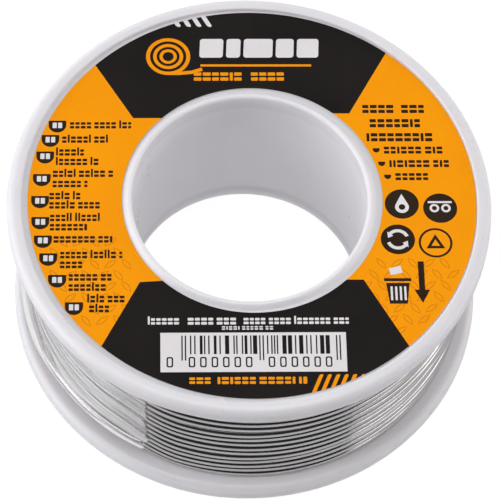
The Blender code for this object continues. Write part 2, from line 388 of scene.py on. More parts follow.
def solder_material():
    """Drawn wire: the UV map runs in mm along it, and from 0 to 1 and back round it."""
    net = Material("drawn solder wire")
    uv = net.coords("UV")
    obj = net.coords()
    drawn = net.noise(uv, stretch=(0.10, 26, 1), roughness=0.6)
    fine = net.noise(uv, stretch=(0.5, 90, 1), detail=2, roughness=0.6)
    patch = net.noise(uv, stretch=(0.05, 1.2, 1), roughness=0.55)
    pits = net.noise(obj, scale=3600, detail=2, roughness=0.6)
    dull = net.noise(obj, scale=160, roughness=0.6)
    grey, light_grey = (0.50, 0.485, 0.485), (0.60, 0.585, 0.585)
    drawn_color, dull_color = (0.39, 0.375, 0.375), (0.36, 0.345, 0.335)
    base = net.mix(net.spread(patch, span=(0.3, 0.7)), grey, light_grey)
    base = net.mix(net.spread(drawn, span=(0.45, 0.75), to=(0, 0.40)), base, drawn_color)
    base = net.mix(net.spread(dull, span=(0.5, 0.75), to=(0, 0.30)), base, dull_color)
    rough = net.plus(
        net.spread(patch, span=(0.3, 0.7), to=(0.10, 0.17)),
        net.spread(fine, span=(0.3, 0.7), to=(-0.02, 0.05)),
        net.spread(dull, span=(0.5, 0.75), to=(0.0, 0.08)),
    )
    normal = net.bump(drawn, strength=0.10, distance=0.00002)
    normal = net.bump(pits, strength=0.04, distance=0.00001, after=normal)
    return net.set(Base_Color=base, Metallic=1.0, Roughness=rough, Normal=normal)


def flux_material():
    net = Material("rosin flux")
    cloud = net.noise(net.coords(), scale=4000)
    amber, light_amber = (0.62, 0.33, 0.07), (0.80, 0.52, 0.16)
    return net.set(
        Base_Color=net.mix(net.spread(cloud, span=(0.3, 0.7)), amber, light_amber),
        Roughness=net.spread(cloud, span=(0.3, 0.7), to=(0.15, 0.35)),
        Normal=net.bump(cloud, strength=0.3, distance=0.00003),
    )


def pressed_valleys(net, uv, height):
    """Where the film is pressed in between two turns, in lengths that differ by valley."""
    phase = net.math("FRACT", net.math("DIVIDE", net.minus(height, COIL_BASE), PITCH))
    off_centre = net.math("ABSOLUTE", net.minus(phase, 0.5))
    valley = net.spread(off_centre, span=(0.06, 0.20), to=(1.0, 0.0))
    length = net.noise(uv, stretch=(0.10, 0.93, 1), detail=2)
    return net.times(
        valley,
        net.spread(length, span=(0.44, 0.54), to=(0.0, 0.9)),
        net.spread(height, span=(6.3, 6.8)),
    )


def tape_material():
    """Clear film: hazy where it isn't pressed down, streaked along the wire, a few bubbles.

    The UV map holds mm: the distance along the coil, and the height above the floor.
    """
    net = Material("clear adhesive tape")
    uv = net.coords("UV")
    haze = net.noise(uv, stretch=(0.05, 0.42, 1), roughness=0.55, distortion=0.2)
    streak = net.noise(uv, stretch=(0.045, 2.3, 1), detail=4, roughness=0.6, distortion=0.1)
    hair = net.noise(uv, stretch=(0.14, 9.0, 1), roughness=0.6)
    cells = net.voronoi(net.mapping(uv, scale=(0.9, 1.5, 1)), scale=1.0)
    fog = net.noise(uv, stretch=(0.35, 0.5, 1), detail=2)
    alpha = net.plus(
        net.spread(haze, span=(0.36, 0.64), to=(0.30, 0.62)),
        net.spread(streak, span=(0.40, 0.62), to=(-0.14, 0.34)),
        net.spread(hair, span=(0.48, 0.68), to=(-0.03, 0.14)),
    )
    bubble = net.times(
        net.spread(cells, span=(0.10, 0.26), to=(1.0, 0.0)),
        net.spread(fog, span=(0.52, 0.60)),
    )
    alpha = net.minus(alpha, net.times(bubble, 0.25))
    along, height, _ = net.split(uv)
    alpha = net.times(alpha, net.minus(1.0, pressed_valleys(net, uv, height)))
    # A thin dark fold above the free end.
    fold = net.times(
        net.spread(height, span=(5.78, 5.86)),
        net.spread(height, span=(5.94, 6.06), to=(1.0, 0.0)),
        net.spread(along, span=(88.0, 92.0), to=(0.2, 0.85)),
    )
    # Pressed down best beside the cut edge.
    alpha = net.times(
        alpha,
        net.spread(along, span=(93.2, 95.8), to=(1.0, 0.60)),
        net.spread(height, span=(5.80, 6.00), to=(0.45, 1.0)),
    )
    # Tight over the free end, and painted near white there: a painted highlight standing in for the
    # shine of the metal under the film. It bridges above the free end, where it can't follow the
    # wire.
    near_tip = net.spread(along, span=(90.0, 93.0))
    raised = net.minus(height, net.times(near_tip, 0.20))
    painted_end_highlight = net.spread(raised, span=(5.50, 5.36))
    bridge = net.times(
        net.spread(height, span=(6.9, 6.2), to=(0.0, 0.60)),
        net.spread(streak, span=(0.3, 0.7), to=(0.8, 1.1)),
        net.spread(height, span=(5.84, 6.02), to=(0.4, 1.0)),
    )
    tight = net.plus(
        net.spread(streak, span=(0.3, 0.7), to=(0.42, 0.60)), net.times(near_tip, 0.32)
    )
    over_end = net.math("MAXIMUM", bridge, net.times(painted_end_highlight, tight))
    alpha = net.math("MAXIMUM", alpha, over_end)
    alpha = net.times(alpha, net.minus(1.0, fold))
    clearest, haziest = 0.06, 0.94
    alpha = net.math("MINIMUM", net.math("MAXIMUM", alpha, clearest), haziest)
    grey, pale, white = (0.80, 0.785, 0.795), (0.95, 0.935, 0.94), (1.0, 0.99, 0.99)
    base = net.mix(net.spread(streak, span=(0.35, 0.65)), grey, pale)
    # painted highlight: the film over the free end is painted near white
    base = net.mix(painted_end_highlight, base, white)
    normal = net.bump(streak, strength=0.30, distance=0.00010)
    normal = net.bump(hair, strength=0.12, distance=0.00002, after=normal)
    normal = net.bump(bubble, strength=0.35, distance=0.00005, after=normal)
    return net.set(
        Base_Color=base,
        Roughness=net.spread(haze, span=(0.3, 0.7), to=(0.14, 0.26)),
        Alpha=alpha,
        Normal=normal,
        IOR=1.48,
        Coat_Weight=0.35,
        Coat_Roughness=0.10,
    )


def floor_material():
    """A pale sweep: it looks evenly white, and sends back less light from in front of the spool."""
    net = Material("pale floor")
    obj = net.coords()
    cloud = net.noise(obj, scale=4, detail=2)
    y = net.split(obj)[1]
    pale, paler, front = (0.74, 0.74, 0.745), (0.76, 0.76, 0.765), (0.33, 0.33, 0.335)
    base = net.mix(net.spread(cloud, span=(0.3, 0.7)), pale, paler)
    base = net.mix(net.spread(y, span=(-0.03, -0.15)), base, front)
    rough = net.spread(cloud, span=(0.3, 0.7), to=(0.7, 0.8))
    net.set(Base_Color=base, Roughness=rough, Specular_IOR_Level=0.1)
    glow = net.add("ShaderNodeEmission", {"Color": (1.0, 1.0, 1.0), "Strength": 1.06})
    path = net.add("ShaderNodeLightPath")
    seen = net.spread(path.outputs["Is Camera Ray"], span=(0.0, 1.0), to=(0.12, 0.90))
    blend = net.mix_shader(seen, net.shader.outputs["BSDF"], glow.outputs["Emission"])
    # Clear from below, and to the light that would reach the underside, so that the underside
    # can be looked at.
    clear = net.add("ShaderNodeBsdfTransparent")
    back = net.add("ShaderNodeNewGeometry")
    near = net.math("LESS_THAN", path.outputs["Ray Length"], 0.0012)
    near = net.times(near, net.minus(1.0, path.outputs["Is Camera Ray"]))
    hidden = net.math("MAXIMUM", back.outputs["Backfacing"], near)
    under = net.mix_shader(hidden, blend, clear.outputs["BSDF"])
    net.feed(net.tree.nodes["Material Output"].inputs["Surface"], under)
    return net.material


PLASTIC = plastic_material()
SOLDER = solder_material()
FLUX = flux_material()
TAPE = tape_material()

# ------------------------------------------------------------------ spool

RIM_FILLET = 0.9
RIM_INNER = 0.2  # fillet of the rim's inner edge
FLANGE_T = 2.35
RECESS_R = 23.5
RECESS = 0.49  # depth of the sunk face inside the rim
RECESS_CORNER = 0.12
BORE_FILLET = 0.35
BORE_EDGE = 0.45  # from each end of the spool to where the bore's straight wall begins
TOP_BORE_R, TOP_SLOPE_R = 12.15, 13.2  # bore, and the foot of the slope round its mouth
LOW_BORE_R, LOW_SLOPE_R = 12.45, 13.45
HUB_R = 14.3
HUB_FILLET = 0.5

SPLIT_LINES = (-93.0, 87.0)  # where the two halves of the mould met
SPLIT_RIDGE, SPLIT_WIDTH = 0.035, 0.14  # mm high, degrees wide
GATE = -93.6
GATE_NIB, GATE_WIDTH = 0.30, 0.34
FINE_OFFSETS = (0.05, 0.12, 0.2, 0.32, 0.5)  # extra columns on both sides of those places
AZIMUTHS = 288
NEAREST_COLUMNS = 0.04


def flange_outline(bore, slope_end):
    """(radius, z) over the top flange: from the bore over the face and rim, back in to the hub."""
    top, under, rim = TOTAL_H, TOTAL_H - FLANGE_T, FLANGE_R - RIM_FILLET
    mouth = bore + BORE_FILLET
    slope = slope_end - mouth
    sunk = top - RECESS
    corner = RECESS_R - RECESS_CORNER
    points = arc(mouth, top - BORE_FILLET, BORE_FILLET, 180, 90, 9)
    points += [(mouth + slope * i / 12, top - RECESS * smooth(i / 12)) for i in range(1, 12)]
    points += line((slope_end, sunk), (corner, sunk), 14)
    points += arc(corner, sunk + RECESS_CORNER, RECESS_CORNER, -90, 0, 3)
    points += arc(RECESS_R + RIM_INNER, top - RIM_INNER, RIM_INNER, 180, 90, 5)
    points += line((RECESS_R + RIM_INNER, top), (rim, top), 2)
    points += arc(rim, top - RIM_FILLET, RIM_FILLET, 90, 0, 12)
    points += line((FLANGE_R, top - RIM_FILLET), (FLANGE_R, under + RIM_FILLET), 2)
    points += arc(rim, under + RIM_FILLET, RIM_FILLET, 0, -90, 12)
    points += line((rim, under), (HUB_R + HUB_FILLET, under), 12)
    points += arc(HUB_R + HUB_FILLET, under - HUB_FILLET, HUB_FILLET, 90, 180, 5)
    return points


def spool_outline():
    """(radius, z) round the section: top flange, down the hub, lower flange, up the bore."""
    upper = flange_outline(TOP_BORE_R, TOP_SLOPE_R)
    mirrored = flange_outline(LOW_BORE_R, LOW_SLOPE_R)
    lower = [(radius, TOTAL_H - z) for radius, z in reversed(mirrored)]
    hub_end = FLANGE_T + HUB_FILLET
    hub = line((HUB_R, TOTAL_H - hub_end), (HUB_R, hub_end), 6)
    bore = line((LOW_BORE_R, BORE_EDGE), (TOP_BORE_R, TOTAL_H - BORE_EDGE), 12)
    return upper + hub + lower + bore


def spool_azimuths():
    """Even columns, with finer ones at the split lines and the gate."""
    found = [i * 360.0 / AZIMUTHS for i in range(AZIMUTHS)]
    for centre in SPLIT_LINES + (GATE,):
        for offset in FINE_OFFSETS:
            found += [(centre - offset) % 360.0, (centre + offset) % 360.0]
    found = sorted(set(round(azimuth, 3) for azimuth in found))
    kept = [found[0]]
    for azimuth in found[1:]:
        if azimuth - kept[-1] > NEAREST_COLUMNS:
            kept.append(azimuth)
    return kept


def peak(azimuth, centre, width):
    """A bell of height 1 at the centre azimuth."""
    away = (azimuth - centre + 180.0) % 360.0 - 180.0
    return math.exp(-((away / width) ** 2))


def moulded_point(azimuth, radius, z):
    """The outline's point with the mould's marks and a slight unevenness."""
    x, y = math.cos(math.radians(azimuth)), math.sin(math.radians(azimuth))
    ridge = max(peak(azimuth, split_line, SPLIT_WIDTH) for split_line in SPLIT_LINES)
    out = radius + SPLIT_RIDGE * ridge * smooth((radius - 24.2) / 0.5)
    out += 0.012 * wave(x * 2.2, y * 2.2, z * 0.15) * smooth((radius - 13) / 3)
    if 23.3 < radius < 23.75 and z > TOTAL_H / 2:
        out -= GATE_NIB * peak(azimuth, GATE, GATE_WIDTH)
    if z > TOTAL_H - 0.75 and radius > 13.0:
        z += 0.010 * wave(x * 1.7 + 9, y * 1.7, radius * 0.1)
    return ring(min(out, FLANGE_R), azimuth, min(max(z, 0.0), TOTAL_H))


def build_spool():
    outline, azimuths = spool_outline(), spool_azimuths()
    verts = [moulded_point(azimuth, *point) for azimuth in azimuths for point in outline]
    rows, cols = len(azimuths), len(outline)
    faces = []
    for i in range(rows):
        j = (i + 1) % rows
        for k in range(cols):
            m = (k + 1) % cols
            faces.append((i * cols + k, i * cols + m, j * cols + m, j * cols + k))
    obj = object_of("moulded_spool", verts, faces, [PLASTIC])
    with editing(obj.data) as work:
        bmesh.ops.recalc_face_normals(work, faces=work.faces)
    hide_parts("spool_body")
    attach(obj, "spool")


build_spool()

# ------------------------------------------------------------------ label shapes

# The label's own x and y, in mm from its centre. Each part of the print is a function that hands
# its shapes to put(ink, *shapes); later shapes cover earlier ones.

LABEL_HOLE_R = 13.47
LABEL_TURN = 4.0
INK, ORANGE, BLACK, WHITE, GOLD, TREAD, BACK = range(7)

# name, color, second color, then roughness and grain where they differ from the usual
LABEL_INKS = (
    ("label dark ink", (0.024, 0.014, 0.008), (0.030, 0.018, 0.010)),
    ("label orange", (0.95, 0.335, 0.0025), (0.92, 0.31, 0.002)),
    ("label black", (0.0125, 0.0105, 0.0098), (0.0155, 0.013, 0.0122), 0.42, 0.6),
    ("label white", (0.72, 0.69, 0.70), (0.76, 0.73, 0.735)),
    ("label orange ink", (0.90, 0.31, 0.004), (0.86, 0.285, 0.003)),
    ("label tread lines", (0.60, 0.19, 0.006), (0.66, 0.215, 0.007)),
    ("label paper edge", (0.74, 0.72, 0.70), (0.68, 0.66, 0.64), 0.6),
)


def block(left, low, right, high, corner=0.08, slant=0.0):
    """A rounded rectangle, leaning by slant per unit of height."""
    corner = min(corner, (right - left) / 2.01, (high - low) / 2.01)
    centres = (
        (right - corner, high - corner, 0),
        (left + corner, high - corner, 90),
        (left + corner, low + corner, 180),
        (right - corner, low + corner, 270),
    )
    points = []
    for x, y, angle in centres:
        points += arc(x, y, corner, angle, angle + 90, 3)
    return [(x + slant * (y - low), y) for x, y in points]


def word_row(start, end, y, height, width, gap, space, caps=False):
    """A row of letter-sized blocks: it stands for a line of print and spells nothing."""
    found = []
    x = start
    left = dice.randint(4, 7)
    while x < end - width * 0.4:
        slim = dice.random() < 0.18
        wide = min(width * (0.42 if slim else dice.uniform(0.88, 1.12)), end - x)
        low, high = y - height / 2, y + height / 2
        if slim and not caps:
            high += height * 0.30
        if slim or wide < width * 0.6:
            found.append(block(x, low, x + wide, high))
        else:
            bar = height * 0.40
            found.append(block(x, low, x + wide, low + bar))
            found.append(block(x, high - bar, x + wide, high))
        left -= 1
        x += wide + (gap if left > 0 else space)
        if left <= 0:
            left = dice.randint(4, 7)
    return found


def stroke(points, width):
    """A closed outline round an open line of points."""
    left, right = [], []
    for i, (x, y) in enumerate(points):
        back_x, back_y = points[max(i - 1, 0)]
        next_x, next_y = points[min(i + 1, len(points) - 1)]
        run_x, run_y = next_x - back_x, next_y - back_y
        size = math.hypot(run_x, run_y) or 1.0
        off_x, off_y = -run_y / size * width / 2, run_x / size * width / 2
        left.append((x + off_x, y + off_y))
        right.append((x - off_x, y - off_y))
    return left + right[::-1]


def lens(centre_x, centre_y, length, width, angle, steps=7):
    angle = math.radians(angle)
    cos, sin = math.cos(angle), math.sin(angle)
    points = []
    for sign in (1, -1):
        for i in range(steps):
            share = i / steps
            x = (share - 0.5) * length * sign
            y = width / 2 * math.sin(math.pi * share) * sign
            points.append((centre_x + x * cos - y * sin, centre_y + x * sin + y * cos))
    return points


def triangle(x, y, radius):
    angles = [math.radians(angle) for angle in (90, 210, 330)]
    return [(x + radius * math.cos(angle), y + radius * math.sin(angle)) for angle in angles]


# ------------------------------------------------------------------ label print

TREAD_X, TREAD_Y = 1.62, 1.30  # pitch of the tread pattern
EMBLEM = (-8.6, 17.5)
BADGE_R = 0.92
BULLET_R = 0.36
SIGN_R = 1.76
BAR = 0.14  # width of the thinnest bar of the code

TOP_PANEL = [
    (-9.0, 9.75), (-12.3, 9.75), (-20.6, 23.5), (-12.0, 30.0),
    (12.0, 30.0), (18.0, 24.1), (10.4, 10.3), (8.0, 10.3),
]
LOW_PANEL = [
    (-8.5, -9.7), (-11.6, -9.9), (-19.0, -24.0), (-10.0, -30.0),
    (10.0, -30.0), (19.3, -24.4), (11.1, -9.7), (9.0, -9.7),
]

# The rows of print: ink, start x, end x, middle y, then the letters' height and width, the gap
# between letters, the gap between words, and whether they are capitals.
TOP_ROWS = (
    (GOLD, -5.9, -0.7, 14.95, 1.05, 0.78, 0.14, 0.14, True),
    (GOLD, 0.15, 3.8, 14.95, 1.05, 0.78, 0.14, 0.14, True),
)
RIGHT_ROWS = (
    (INK, 11.8, 15.2, 10.85, 1.02, 0.72, 0.15, 0.15, True),
    (INK, 15.9, 18.3, 10.85, 1.02, 0.72, 0.15, 0.15, True),
    (INK, 12.5, 17.8, 9.08, 1.02, 0.68, 0.16, 0.16, True),
    (INK, 12.1, 19.1, 7.34, 1.02, 0.72, 0.15, 0.15, True),
)
ROWS_OVER_CODE = (
    (WHITE, -10.8, -7.2, -14.42, 0.72, 0.46, 0.12, 0.32),
    (WHITE, -6.8, -1.6, -14.42, 0.78, 0.56, 0.13, 0.34, True),
    (WHITE, -1.2, 9.4, -14.42, 0.72, 0.46, 0.12, 0.34),
    (WHITE, -3.4, 2.0, -15.20, 0.42, 0.34, 0.10, 0.24, True),
)
ROWS_UNDER_CODE = (
    (GOLD, -6.7, -4.4, -21.10, 0.72, 0.60, 0.14, 0.14, True),
    (GOLD, -3.9, 5.0, -21.10, 0.78, 0.66, 0.15, 0.36, True),
)
BADGE_LETTERS = (0.78, 0.48, 0.12, 0.34)
BULLET_LETTERS = (0.86, 0.60, 0.15, 0.40, True)

# badge x and y, then its rows: start x, end x, middle y
BADGES = (
    (-20.21, 8.78, ((-18.9, -12.5, 8.86),)),
    (-20.91, 7.02, ((-19.7, -14.8, 7.10),)),
    (-21.42, 4.99, ((-20.3, -17.4, 5.53), (-20.3, -15.6, 4.37))),
    (-21.72, 2.25, ((-20.6, -14.1, 2.93), (-20.6, -17.0, 1.70))),
    (-21.85, -0.39, ((-20.9, -17.5, 0.25), (-20.9, -15.6, -0.86))),
    (-21.78, -2.90, ((-20.8, -15.7, -2.36), (-20.8, -17.0, -3.46))),
    (-21.48, -5.09, ((-20.4, -14.4, -4.90),)),
    (-20.90, -7.18, ((-19.7, -13.4, -6.74), (-19.7, -17.4, -7.88))),
    (-19.96, -9.70, ((-18.8, -14.4, -9.34), (-18.8, -14.5, -10.52))),
    (-18.22, -12.86, ((-16.9, -12.9, -11.85), (-16.7, -14.4, -12.97))),
)

# bullet x and y, then the start and end x of its row
BULLETS = ((13.05, 5.72, 13.85, 20.2), (13.55, 4.06, 14.35, 20.7), (14.1, 2.48, 14.9, 18.3))


def print_rows(put, rows):
    for ink, *row in rows:
        put(ink, *word_row(*row))


def print_tread(put):
    """A faint tread pattern in the lower part of the two orange fields."""
    for i in range(-16, 17):
        for j in range(-16, 12):
            x, y = i * TREAD_X + (TREAD_X / 2 if j % 2 else 0.0), j * TREAD_Y
            on_left = x < -12.6 and -14.8 < y < -4.4
            on_right = x > 11.2 and -16.5 < y < -6.8
            if not (on_left or on_right):
                continue
            if not LABEL_HOLE_R + 0.8 <= math.hypot(x, y) <= LABEL_R - 0.7:
                continue
            angle = 38 if (i + j) % 2 else -52
            put(TREAD, lens(x, y, length=1.62, width=0.60, angle=angle))
            put(ORANGE, lens(x, y, length=1.38, width=0.41, angle=angle))


def print_top_panel(put):
    """Slanted bars, an emblem of rings, plain blocks, a rule and two rows of small blocks."""
    for i in range(4):
        put(WHITE, block(-7.68 + i * 1.107, 21.3, -7.14 + i * 1.107, 24.5, 0.25, slant=-0.54))
    for outer, inner in ((2.35, 1.93), (1.60, 1.22), (0.92, 0.58)):
        put(GOLD, circle(*EMBLEM, outer, 44))
        put(BLACK, circle(*EMBLEM, inner, 40))
    put(GOLD, stroke([(-8.6, 15.36), (-7.4, 15.36), (-6.1, 15.5), (-5.0, 15.9)], width=0.42))
    x = -5.3
    for width in (2.5, 1.5, 3.1, 1.9, 2.3):
        put(WHITE, block(x, 17.35, x + width, 19.75, 0.30, slant=0.05))
        x += width + 0.34
    put(GOLD, block(-5.2, 16.22, 6.6, 16.5, 0.1))
    print_rows(put, TOP_ROWS)


def print_left_column(put):
    """Ten badges, each with one or two rows."""
    for x, y, rows in BADGES:
        put(INK, block(x - BADGE_R, y + 0.1, x + BADGE_R, y + 0.66, 0.1))
        put(INK, arc(x, y + 0.12, BADGE_R, 180, 360, 22))
        put(WHITE, block(x - 0.50, y - 0.26, x - 0.07, y + 0.42, 0.05))
        put(WHITE, block(x + 0.07, y - 0.26, x + 0.50, y + 0.42, 0.05))
        for row in rows:
            put(INK, *word_row(*row, *BADGE_LETTERS))


def print_right_column(put):
    """Four rows, then three with bullets."""
    print_rows(put, RIGHT_ROWS)
    for x, y, start, end in BULLETS:
        put(INK, arc(x, y + 0.1, BULLET_R, 180, 360, 14))
        put(INK, block(x - BULLET_R, y + 0.08, x + BULLET_R, y + 0.28, 0.04))
        put(INK, *word_row(start, end, y + 0.03, *BULLET_LETTERS))


def print_two_arrows(put, x, y):
    """Two bent arrows chasing each other round a centre."""
    for start in (20, 200):
        put(WHITE, stroke(arc(x, y, 1.02, start, start + 120, 18), width=0.36))
        tip = math.radians(start + 150)
        near = math.radians(start + 118)
        head = ((0.62, near), (1.42, near), (1.02, tip))
        put(WHITE, [(x + r * math.cos(angle), y + r * math.sin(angle)) for r, angle in head])


def print_signs(put):
    """Four round signs, a bin and an arrow down, all plain shapes."""
    for x, y in ((15.41, -0.79), (19.35, -1.30), (14.80, -5.00)):
        put(INK, circle(x, y, SIGN_R, 44))
    # a drop
    put(WHITE, [(15.41, 0.42)] + arc(15.41, -1.15, 0.72, 150, 390, 20))
    put(INK, circle(15.41, -1.15, 0.34, 18))
    # two rings under a bar
    for side in (-1, 1):
        put(WHITE, circle(19.35 + side * 0.60, -1.30, 0.50, 22))
        put(INK, circle(19.35 + side * 0.60, -1.30, 0.26, 16))
    put(WHITE, block(18.1, -0.70, 20.6, -0.46))
    print_two_arrows(put, 14.80, -5.00)
    # a triangle in a ring
    put(INK, circle(18.65, -5.42, 1.74, 44))
    put(ORANGE, circle(18.65, -5.42, 1.50, 44))
    put(INK, triangle(18.65, -5.52, 1.12))
    put(ORANGE, triangle(18.65, -5.52, 0.52))
    # the bin, its lid and a scrap above it
    put(INK, [(13.35, -10.1), (15.75, -10.1), (15.45, -12.5), (13.65, -12.5)])
    for i in range(4):
        x = 13.78 + i * 0.46
        put(WHITE, block(x, -12.1, x + 0.22, -10.5, 0.05))
    put(INK, block(13.15, -9.9, 15.95, -9.55, 0.1))
    put(WHITE, [(13.9, -9.2), (15.1, -8.9), (14.9, -8.1), (13.7, -8.4)])
    # the arrow
    put(INK, stroke([(17.0, -7.6), (17.0, -11.2)], width=0.62))
    put(INK, [(16.2, -10.9), (17.8, -10.9), (17.0, -12.4)])


def print_bar_code(put):
    put(WHITE, block(-9.55, -20.15, 9.05, -15.72, 0.03))
    for x in (-7.46, -7.12, 0.32, 0.66, 8.02, 8.36):
        put(BLACK, block(x, -18.85, x + BAR, -16.05, 0.01))
    for x, end in ((-6.6, 0.0), (1.1, 7.7)):
        while x < end - 0.2:
            wide = dice.choice((BAR, BAR, BAR, 0.28, 0.42))
            put(BLACK, block(x, -18.15, x + wide, -16.05, 0.01))
            x += wide + dice.choice((BAR, 0.28, 0.28, 0.42))
    for x in [-8.95] + [start + 1.14 * i for start in (-6.75, 1.22) for i in range(6)]:
        put(BLACK, block(x, -19.62, x + 0.66, -18.45, 0.20))
        put(WHITE, block(x + 0.15, -19.47, x + 0.51, -18.60, 0.12))


def print_low_panel(put):
    print_rows(put, ROWS_OVER_CODE)
    print_bar_code(put)
    print_rows(put, ROWS_UNDER_CODE)
    for i in range(6):
        put(GOLD, block(5.25 + i * 0.84, -22.9, 5.65 + i * 0.84, -20.45, 0.15, slant=0.42))


def label_art():
    """(ink, shape) for the whole print, lowest first."""
    art = []

    def put(ink, *shapes):
        art.extend((ink, shape) for shape in shapes)

    print_tread(put)
    put(BLACK, TOP_PANEL, LOW_PANEL)
    print_top_panel(put)
    print_left_column(put)
    print_right_column(put)
    print_signs(put)
    print_low_panel(put)
    return art


# ------------------------------------------------------------------ label


def label_sheet():
    """The print cut into flat faces: points in metres, faces, and the ink of each face."""
    art = label_art()
    shapes = [circle(0, 0, LABEL_R, 300), circle(0, 0, LABEL_HOLE_R, 200)]
    shapes += [shape for _, shape in art]
    coords, outlines = [], []
    for shape in shapes:
        pairs = zip(shape, shape[1:] + shape[:1])
        area = sum(here[0] * after[1] - after[0] * here[1] for here, after in pairs)
        shape = shape if area > 0 else shape[::-1]
        outlines.append(list(range(len(coords), len(coords) + len(shape))))
        coords += [Vector(point) for point in shape]
    cut = geometry.delaunay_2d_cdt(coords, [], outlines, 1, 1e-5, True)
    points, faces, owners = cut[0], cut[2], cut[5]
    kept, inks = [], []
    for face, owner in zip(faces, owners):
        # Owner 0 is the disc and owner 1 its hole.
        if 0 not in owner or 1 in owner:
            continue
        top = max(owner)
        inks.append(ORANGE if top < 2 else art[top - 2][0])
        kept.append(face)
    used = sorted(set(i for face in kept for i in face))
    number = {old: new for new, old in enumerate(used)}
    turn = math.radians(LABEL_TURN)
    cos, sin = math.cos(turn), math.sin(turn)
    verts = []
    for i in used:
        x, y = points[i]
        x, y = LABEL_X + x * cos - y * sin, LABEL_Y + x * sin + y * cos
        verts.append((x * MM, y * MM, LABEL_TOP * MM))
    return verts, [tuple(number[i] for i in face) for face in kept], inks


def thicken_label(work):
    """Turns the sheet face up, and adds a paper underside and edge."""
    bmesh.ops.recalc_face_normals(work, faces=work.faces)
    if sum(face.normal.z for face in work.faces) < 0:
        bmesh.ops.reverse_faces(work, faces=work.faces)
    upper = list(work.faces)
    made = bmesh.ops.duplicate(work, geom=upper)
    under = [part for part in made["geom"] if isinstance(part, bmesh.types.BMFace)]
    for part in made["geom"]:
        if isinstance(part, bmesh.types.BMVert):
            part.co.z -= LABEL_T * MM
    for face in under:
        face.material_index = BACK
    bmesh.ops.reverse_faces(work, faces=under)
    below = made["vert_map"]
    rim = [edge for face in upper for edge in face.edges if edge.is_boundary]
    for edge in rim:
        start, end = edge.verts
        face = work.faces.new((end, start, below[start], below[end]))
        face.material_index = BACK
    bmesh.ops.recalc_face_normals(work, faces=work.faces)


def build_label():
    materials = [print_material(*ink) for ink in LABEL_INKS]
    verts, faces, inks = label_sheet()
    obj = object_of("printed_label", verts, faces, materials, smooth_faces=False)
    for polygon, ink in zip(obj.data.polygons, inks):
        polygon.material_index = ink
    with editing(obj.data) as work:
        thicken_label(work)
    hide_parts("face_label")
    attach(obj, "spool")


build_label()

# ------------------------------------------------------------------ wire

# Each turn lies flat, then rises by one pitch over the jog that ends at JOG_START.
JOG_START, JOG_ARC, JOGS = 150.0, 60.0, 14
LEAD_IN = 300.0  # how far before the first jog a layer begins
CLIMB_START, CLIMB_ARC = 120.0, 22.0  # where the free end climbs out over the turns
RISE_ARC = 26.0
WIRE_SIDES = 24
COIL_STEP, TAIL_STEP = 1.8, 0.8
CORE_R = 0.165


def level(total, jogs=JOGS, start=JOG_START, base=COIL_BASE):
    """Height of a layer's centre line at a total azimuth."""
    z = base
    for k in range(1, jogs + 1):
        z += PITCH * (1.0 - smooth((total - start + 360.0 * k) / JOG_ARC))
    return z


def grip(azimuth, release, release_arc):
    """1 where the tape holds the turns, 0 elsewhere."""
    return smooth((azimuth - 120.0) / 40.0) * (1.0 - smooth((azimuth - release) / release_arc))


def winding_radius(azimuth, z):
    """Centre line radius of the visible layer: drawn in under the tape, fuller elsewhere."""
    azimuth %= 360.0
    share = min(max((z - COIL_LOW) / (JOGS * PITCH), 0.0), 1.0)
    full = COIL_R + 0.20 + 0.10 * math.cos(math.radians(azimuth + 40.0))
    full += 0.17 * math.sin(math.pi * min(share * 1.25, 1.0))
    return full + (COIL_R - 0.15 - full) * grip(azimuth, release=238.0, release_arc=18.0)


def tail_place(azimuth):
    """(radius, z) of the free end, lying on the turns under the tape."""
    share = smooth((azimuth - 202.0) / 17.0)
    radius = TAIL_R + 0.01 - 0.14 * share
    z = TAIL_Z - 0.85 + 0.50 * share
    return radius + 0.02 * wave(azimuth * 0.07, 7.0), z + 0.06 * wave(azimuth * 0.05, 2.0)


def tail_rise(azimuth):
    return smooth((azimuth - CLIMB_START - CLIMB_ARC) / RISE_ARC)


def strand_point(total):
    """Centre line of the visible layer and of the free end, at a total azimuth."""
    x, y = math.cos(math.radians(total)), math.sin(math.radians(total))
    turn = total / 360.0
    z = level(total)
    radius = winding_radius(total, z)
    # The turns wander a little, less under the tape.
    calm = 1.0 - 0.75 * grip(total % 360.0, release=243.0, release_arc=14.0)
    radius += 0.14 * calm * wave(x * 1.2, y * 1.2, turn * 1.9)
    z += 0.16 * calm * wave(x * 1.1 + 5, y * 1.1 + 3, turn * 1.37 + 40)
    z += 0.03 * calm * wave(x * 5.0 + 15, y * 5.0, turn * 2.3)
    z = max(z, COIL_LOW - 0.08)
    if total > CLIMB_START:
        tail_r, tail_z = tail_place(total)
        radius += (tail_r - radius) * smooth((total - CLIMB_START) / CLIMB_ARC)
        z += (tail_z - z) * tail_rise(total)
    return ring(radius, total, z)


def strand(start, end, step):
    count = max(2, int(math.ceil((end - start) / step)))
    return [strand_point(start + (end - start) * i / count) for i in range(count + 1)]


def wire_piece(name, path, sides, *parts, **steering):
    obj = sweep(name, path, sides, SOLDER, **steering)
    if parts:
        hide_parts(*parts)
    return obj


def blend_at_hinge(obj):
    """Bakes the length's transform into its mesh."""
    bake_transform(obj)


